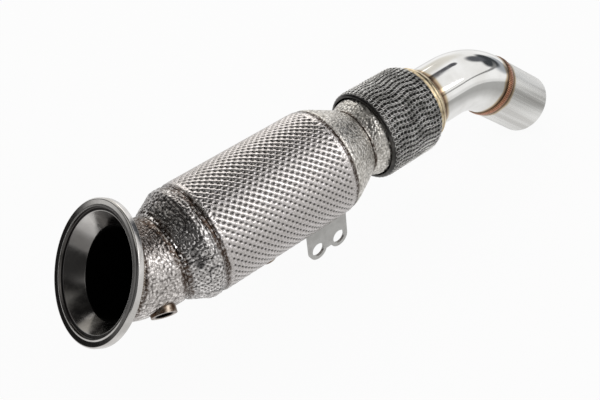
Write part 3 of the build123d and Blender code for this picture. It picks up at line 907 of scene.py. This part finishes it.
piece = foil_ring(
    "body_foil", body, -CLOSE, SHIELD_LENGTH + CLOSE, body_base, woven,
    WOVEN, step=0.9, around=460,
)
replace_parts(piece, "body_shield")

outlet_start = CAN_END - 1 + SEAM
outlet_line = [
    (CAN_END - 2, CAN_R), (CAN_END, CAN_R), (CAN_END + 11, CAN_R - 4.35), (NECK_START, NECK_R),
    (NECK_START + 3, NECK_R),
]
outlet_base = foil_line(outlet_line, outlet_start, NECK_START)
pressed_blanket("outlet_cone_blanket", body, outlet_start, NECK_START, outlet_line)


def fine_crinkle(x, angle):
    """Fine even crinkle."""
    dome, tag = domes(x, angle, 2.5, 124, 71, 0.95)
    fold = waves(x, angle, 9.0, 30, 73)
    window = edge_window(x, outlet_start, NECK_START)
    height = (0.5 * (dome - 1) - 0.25 * (1 - fold)) * window
    # Painted shade in the valleys between the domes
    painted_shade_and_spots = ease(1 - dome, 0.4, 1.0) * window * (0.3 + 0.7 * tag) * 0.8
    return height, {"painted_shade_and_spots": painted_shade_and_spots, "tint": seam_tint_and_shade(x, angle, outlet_start, NECK_START, 1.6, 75)}


piece = foil_ring(
    "outlet_cone_foil", body, outlet_start - CLOSE, NECK_START, outlet_base, fine_crinkle,
    PALE_FOIL, step=0.75, around=440,
)
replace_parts(piece, "outlet_cone_shield")

COLLAR_END = 21.5
collar_line = [(0.0, NECK_R + SLIP), (SEAM + LIP, NECK_R + SLIP), (SEAM + LIP + RISE, NECK_R + COVER)]
collar_line += [(11.0, 42.1), (COLLAR_END, 44.5)]
collar_base = softened([(x, r + FOIL) for x, r in collar_line], 0.7)
pressed_blanket("neck_blanket", neck, 0.0, COLLAR_END, collar_line, room=-0.5)


def collar_crumple(x, angle):
    """Crumple with larger soft dents, as where the foil was folded in."""
    dome, tag = domes(x, angle, 2.7, 96, 81, 0.95)
    dent = ease(waves(x, angle, 8.0, 26, 83), 0.5, 0.85)
    window = between(x, SEAM + 0.6 * LIP, SEAM + LIP + RISE, COLLAR_END - 1.0, COLLAR_END)
    height = (0.68 * (dome - 1) - 0.5 * dent) * window
    # Painted shade in the valleys and the dents
    painted_shade_and_spots = ease(1 - dome, 0.45, 1.0) * (0.3 + 0.7 * tag) * 0.6 + 0.4 * dent
    tint = seam_tint_and_shade(x, angle, SEAM, COLLAR_END, 1.8, 85)
    return height, {"painted_shade_and_spots": np.clip(painted_shade_and_spots, 0, 1) * window, "tint": tint}


piece = foil_ring(
    "collar_foil", neck, SEAM - CLOSE, COLLAR_END, collar_base, collar_crumple,
    PALE_FOIL, step=0.65, around=400, depth=0.9,
)
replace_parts(piece, "neck_shield")

# Flexible joint, from the neck's end
BRAID_START = -4.7
BRAID_FULL = 7.0  # the barrel has its full radius from here to BRAID_SHRINK
BRAID_SHRINK = 48.0
BRAID_END = 65.0
BRAID_R = 51.4
BRAID_START_R = 50.35
BRAID_END_R = 45.6
ROLL_START = -11.4
ROLL_R = 46.0
WIRE_START = -8.8  # the wires' front edge, which lies on the end ring
WIRE_R = 0.28
WIRE_DEPTH = 0.34  # from the barrel in to the wires
INNER_WIRE_R = 0.26

# The knit: loops side by side make a course round the joint
WALES = 52  # loops to a course
COURSE = 4.65  # from one course to the next
LOOP_RISE = 6.4  # a loop's length along the joint
LOOP_NECK = 0.105  # its swing sideways at its neck and at its head, in loops
LOOP_HEAD = 0.11
LOOP_SWAY = 1.3  # what chance adds to its length, lean and width
LOOP_LEAN = 0.1
LOOP_SPREAD = 0.35
LOOP_LIFT = 0.3  # in and out, where loops cross
COURSE_SHIFT = 0.25  # how far whole courses are turned, in loops


def roll_radius(x):
    """Outside radius of the front end ring's roll."""
    share = (x - ROLL_START) / (BRAID_START - SLIP - ROLL_START)
    return ROLL_R + (BRAID_START_R - ROLL_R) * quarter_round(share)


def braid_radius(x):
    """Outside radius of the braid's barrel, and of its edge on the end ring."""
    front = quarter_round((x - BRAID_START) / (BRAID_FULL - BRAID_START))
    rear = quarter_round((BRAID_END - x) / (BRAID_END - BRAID_SHRINK))
    low_front = BRAID_START_R + (BRAID_R - BRAID_START_R) * front
    low_rear = BRAID_END_R + (BRAID_R - BRAID_END_R) * rear
    return np.minimum(np.minimum(low_front, low_rear), roll_radius(x) + 0.4)


def knit(sink, slide, per_loop, seed):
    """Knitted wire: each course is one closed wire whose loops hook into the next.

    sink and slide set it deeper and further back, and per_loop is a loop's number of points.
    """
    t = np.arange(WALES * per_loop) / per_loop
    courses = np.arange(WIRE_START + slide, BRAID_END - LOOP_RISE - 0.4, COURSE)
    paths = []
    outwards = []
    for k, first in enumerate(courses):
        sway = LOOP_SWAY * (chance(np.floor(t), k, seed) - 0.5)
        lean = LOOP_LEAN * (chance(np.floor(t + 0.5), k, seed + 2) - 0.5)
        wide = 1.0 + LOOP_SPREAD * (chance(np.floor(t), k, seed + 4) - 0.5)
        angle = t + wide * (LOOP_NECK * np.sin(2 * TURN * t) + LOOP_HEAD * np.sin(TURN * t)) + lean
        angle = (angle + COURSE_SHIFT * np.sin(0.9 * k + seed)) / WALES * TURN
        x = first + LOOP_RISE * 0.5 * (1 - np.cos(TURN * t)) + sway * np.sin(TURN * t) ** 2
        lift = LOOP_LIFT * np.cos(2 * TURN * t) * np.cos(math.pi * t) ** 2
        r = braid_radius(x) - WIRE_R - WIRE_DEPTH + lift - sink
        paths.append(flex.points(x, r, angle))
        outwards.append(flex.points(x, r + 1, angle) - paths[-1])
    return np.array(paths), np.array(outwards)


wires = strands("flex_wires", *knit(0.0, 0.0, 14, 91), WIRE_R, 6, WIRE, "steel_braid")
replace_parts(wires, "flex_braid")
# The inner layer of wires, darker as painted shade
strands("flex_inner_wires", *knit(0.42, 2.2, 10, 191), INNER_WIRE_R, 4, SHADED_WIRE, "steel_braid")

# A dark layer close under the wires: painted shade between them
under_x = np.linspace(BRAID_START, BRAID_END, 44)
under_r = braid_radius(under_x)
under_x = np.concatenate([under_x, under_x[::-1]])
under_r = np.concatenate([under_r - 1.12, under_r[::-1] - 1.25])
ring("flex_shade_layer", flex, under_x, under_r, 128, UNDER_SHADE)

ring_outline = [(0.0, 38.1), (-5.8, 38.1), (-5.8, 45.5), (ROLL_START + 0.5, 45.5), (ROLL_START, ROLL_R)]
ring_outline += [(x, float(roll_radius(x))) for x in (-10.8, -10.1, -9.4)]
ring_outline += [(x, float(roll_radius(x)) - 0.55) for x in (-9.0, -7.4, -4.75)]
ring_outline += [(-4.75, 49.1), (0.0, 49.1)]
front_ring = turned("flex_end_ring", flex, ring_outline, DARK_RING, "dark_ring", 0.7)
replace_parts(front_ring, "flex_front_ring")

CAP_START = 66.9
CAP_END = 77.5
CAP_END_R = 38.4
CAP_SWELL = 5.1  # and how much wider the ring is at its start
CAP_RIDGE = 0.52  # shares of its length
CAP_GROOVE = 0.36
CAP_ROWS = 22
# Its bore, and what the braid's rear edge lies on
CAP_INSIDE = [
    (CAP_END, 35.5), (67.6, 35.5), (67.6, 38.1), (62.0, 38.1),
    (62.0, 44.3), (66.0, 44.3), (66.0, 42.4), (CAP_START, 42.4),
]


def straw_cap():
    """The straw-tinted end ring, with a groove and a soft ridge."""
    share = np.linspace(0, 1, CAP_ROWS)
    swell = CAP_END_R + CAP_SWELL * np.sqrt(np.clip(1 - share ** 2.2, 0, 1))
    ridge = 0.45 * bell(share - CAP_RIDGE, 0.1) - 0.35 * bell(share - CAP_GROOVE, 0.06)
    x = CAP_START + share * (CAP_END - CAP_START)
    inside_x, inside_r = np.array(CAP_INSIDE).T
    loop_x = np.concatenate([x, inside_x])
    loop_r = np.concatenate([np.minimum(swell + ridge, 44.0), inside_r])
    share = share[:, None]
    spots = ease(waves(x[:, None], round_angles(TURNED_AROUND), 2.5, 60, 95), 0.72, 0.95)
    # Painted shade in the groove, and dark spots of its own
    painted_shade_and_spots = np.clip(0.75 * bell(share - CAP_GROOVE, 0.09) + 0.7 * spots, 0, 1)
    edge = np.abs(share * 1.6 - 0.6)
    fields = {"painted_shade_and_spots": with_inside(painted_shade_and_spots, painted_shade_and_spots, len(inside_x)), "edge": with_inside(edge, painted_shade_and_spots, len(inside_x))}
    return ring("flex_straw_ring", flex, loop_x, loop_r, TURNED_AROUND, STRAW, fields)


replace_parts(straw_cap(), "flex_rear_cap")
weld_ring(
    "flex_bead", flex, start=77.55, width=3.6, foot_r=34.95, base_r=35.5, height=1.4, ripples=96,
    surface=STRAW, node="flex_weld",
)

# Tail: polished bend, copper-tinted weld and brushed tube
def pipe(name, route, start, end, outer_r, rows, bore_rows, around, surface, hot):
    """A tube with eased ends. hot lists its welds' stations, and how far each one's heat tints it."""
    bore = outer_r - WALL
    edge = np.array([0.0, 0.08, 0.25])  # the eased outer edge of an end
    edge_r = outer_r - edge[::-1]
    outside = np.linspace(start + 0.5, end - 0.5, rows)
    inside = np.linspace(end - 0.3, start + 0.3, bore_rows)
    x = np.concatenate([start + edge, outside, end - edge[::-1], [end], inside, [start]])[:, None]
    r = [*edge_r, *[outer_r] * rows, *edge_r[::-1], bore + 0.2, *[bore] * bore_rows, bore + 0.2]
    tint = np.zeros((len(x), around))
    for station, reach in hot:
        uneven = 0.75 + 0.5 * waves(station, round_angles(around), 7.0, 22, 97)
        tint = np.maximum(tint, bell(np.abs(x - station), reach * uneven))
    return ring(name, route, x, np.array(r), around, surface, {"tint": tint})


bend_end = tail_length - WELD_WIDTH / 2 - SLIP
CAP_WELD_END = 16.2  # end of the flexible joint's weld, from the bend tube's start
WELD_HEAT = 4.4  # how far the copper weld's heat reaches
CAP_WELD_HEAT = 5.5
bend = pipe(
    "polished_bend", tail, 0.0, bend_end, TAIL_R, rows=120, bore_rows=40, around=192,
    surface=POLISHED, hot=[(CAP_WELD_END, CAP_WELD_HEAT), (bend_end, WELD_HEAT)],
)
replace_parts(bend, "outlet_bend_tube")
tube_start = WELD_WIDTH / 2 + SLIP
tube = pipe(
    "brushed_outlet", outlet, tube_start, OUTLET_LENGTH, TAIL_R, rows=50, bore_rows=2, around=256,
    surface=BRUSHED, hot=[(tube_start, WELD_HEAT)],
)
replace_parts(tube, "outlet_tube")
weld_ring(
    "copper_bead", outlet, start=-WELD_WIDTH / 2, width=WELD_WIDTH, foot_r=TAIL_R - WALL, base_r=TAIL_R,
    height=WELD_HEIGHT, ripples=104, surface=COPPER, node="outlet_weld",
)


# Studio
# How much of the floor is glow, and not the paint that takes the part's shadow
CAMERA_GLOW = 0.94
METAL_GLOW = 0.44
FAR_GLOW = 0.5  # added far out, and beneath the part
BENEATH_GLOW = 0.32
CARD_SHADE = 0.3  # taken away on the grey card beside the part's tail


def studio_floor():
    """A pale floor, almost white to the camera, which metal mirrors in soft greys."""
    low = cad_box[0].z
    size = 12.0
    corners = [(-size, -size, low), (size, -size, low), (size, size, low), (-size, size, low)]
    mesh = bpy.data.meshes.new("studio_floor")
    mesh.from_pydata(corners, [], [(0, 1, 2, 3)])
    floor = placed("studio_floor", mesh)
    surface = bpy.data.materials.new("studio_floor")
    surface.use_nodes = True
    made = Nodes(surface.node_tree)
    made.tree.nodes.clear()
    path = made.node("LightPath").outputs
    mirrored = made.math("MAXIMUM", path["Is Glossy Ray"], path["Is Transmission Ray"])
    seen = made.product(path["Is Camera Ray"], CAMERA_GLOW)
    spot = made.split(made.node("NewGeometry").outputs["Position"])
    far = made.span(spot["X"], 0.9, 1.9, 0.0, FAR_GLOW)
    beneath = made.span(made.math("ABSOLUTE", spot["Y"]), 0.11, 0.05, 0.0, BENEATH_GLOW)
    beside = made.span(made.math("ABSOLUTE", made.math("ADD", spot["Y"], 0.24)), 0.19, 0.12)
    card = made.product(beside, made.span(spot["X"], 0.48, 0.62))
    sheen = made.math("ADD", made.math("ADD", far, beneath), METAL_GLOW)
    sheen = made.math("SUBTRACT", sheen, made.product(card, CARD_SHADE))
    share = made.math("MAXIMUM", seen, made.product(mirrored, sheen))
    tone = made.blend(made.product(card, mirrored), (0.74, 0.74, 0.73), (0.42, 0.42, 0.41))
    paint = made.node("BsdfDiffuse", {"Color": tone}).outputs[0]
    glow = made.node("Emission", {"Strength": 1.0}).outputs[0]
    mix = made.node("MixShader", {0: share, 1: paint, 2: glow}).outputs[0]
    made.node("OutputMaterial", {"Surface": mix})
    mesh.materials.append(surface)


def studio_room():
    """Plain white to the camera, even grey light to dull surfaces, and a room for metal to mirror."""
    world = bpy.data.worlds.new("studio")
    bpy.context.scene.world = world
    world.use_nodes = True
    made = Nodes(world.node_tree)
    made.tree.nodes.clear()
    way = made.node("TexCoord").outputs["Generated"]
    part = made.split(way)

    def facing(direction, inner, outer, wide=1.0):
        """1 within an angle of a direction and 0 beyond a wider one, in degrees. wide draws it out along Y."""
        toward = Vector((direction[0], direction[1] / wide, direction[2])).normalized()
        look = made.vector("MULTIPLY", way, (1.0, 1.0 / wide, 1.0))["Vector"]
        look = made.vector("NORMALIZE", look)["Vector"]
        dot = made.vector("DOT_PRODUCT", look, toward)["Value"]
        return made.span(dot, math.cos(math.radians(outer)), math.cos(math.radians(inner)))

    def band(height, half):
        """1 near a height on the room's round wall."""
        away = made.math("ABSOLUTE", made.math("SUBTRACT", part["Z"], height))
        return made.span(away, half, half * 0.4)

    dark_side = made.span(part["X"], 0.1, -0.28)
    overhead_light = made.product(
        made.span(part["X"], -0.34, -0.26), made.span(part["X"], 0.04, -0.06),
        made.span(part["Z"], 0.5, 0.7), made.span(part["Y"], -0.45, -0.2),
    )
    line = made.product(band(0.79, 0.013), facing((0.66, -0.12, 0.74), 9.0, 15.0))
    horizon = made.product(band(0.19, 0.035), facing((0.7, -0.68, 0.2), 30.0, 50.0))
    # Each thing in the room covers those before it
    things = [
        (dark_side, (0.1, 0.1, 0.1)),
        (facing((0.44, 0.68, 0.58), 14.0, 30.0), (0.78, 0.755, 0.7)),  # warm wall
        (facing((-0.1, 0.05, 1.0), 34.0, 43.0), (0.03, 0.03, 0.03)),  # dark overhead
        (overhead_light, (0.55, 0.55, 0.53)),
        (facing((1.0, 0.0, 0.06), 5.0, 12.0, 2.2), (0.4, 0.42, 0.45)),  # patches that the bend mirrors
        (facing((1.0, 0.04, 0.26), 6.5, 10.0, 2.4), (0.05, 0.055, 0.06)),
        (facing((0.95, 0.1, 0.47), 5.0, 11.0, 1.3), (0.12, 0.125, 0.14)),
        (facing((0.65, 0.09, 0.755), 3.0, 5.0, 1.5), (0.1, 0.1, 0.11)),
        (line, (0.2, 0.2, 0.21)),
        (horizon, (0.25, 0.25, 0.25)),
    ]
    room = white = (1.0, 1.0, 1.0)
    for share, color in things:
        room = made.blend(share, room, color)
    path = made.node("LightPath").outputs
    lit = made.blend(path["Is Glossy Ray"], (0.62, 0.62, 0.62), room)
    seen = made.math("MAXIMUM", path["Is Camera Ray"], path["Is Transmission Ray"])
    sky = made.node("Background", {"Color": made.blend(seen, lit, white)}).outputs[0]
    made.node("OutputWorld", {"Surface": sky})


def lamp(name, place, aim, size, power):
    """A square soft box."""
    light = bpy.data.lights.new(name, "AREA")
    light.size = size
    light.energy = power
    holder = placed(name, light)
    holder.location = place
    holder.rotation_euler = (Vector(aim) - Vector(place)).to_track_quat("-Z", "Y").to_euler()


def camera():
    lens = bpy.data.cameras.new("photo_view")
    lens.lens = CAMERA_LENS
    lens.sensor_width = CAMERA_SENSOR
    holder = placed("photo_view", lens)
    right = CAMERA_FORWARD.cross(CAMERA_UP).normalized()
    up = right.cross(CAMERA_FORWARD).normalized()
    turn = Matrix((right, up, -CAMERA_FORWARD.normalized())).transposed().to_4x4()
    holder.matrix_world = Matrix.Translation(CAMERA_PLACE) @ turn
    bpy.context.scene.camera = holder


studio_floor()
studio_room()
MIDDLE = (0.27, 0.0, 0.0)
lamp("key_box", (1.1, -1.3, 1.0), MIDDLE, size=0.9, power=4.5)
lamp("back_box", (0.9, 1.0, 1.1), MIDDLE, size=0.9, power=3.5)
camera()
bpy.context.scene.view_settings.view_transform = "Standard"
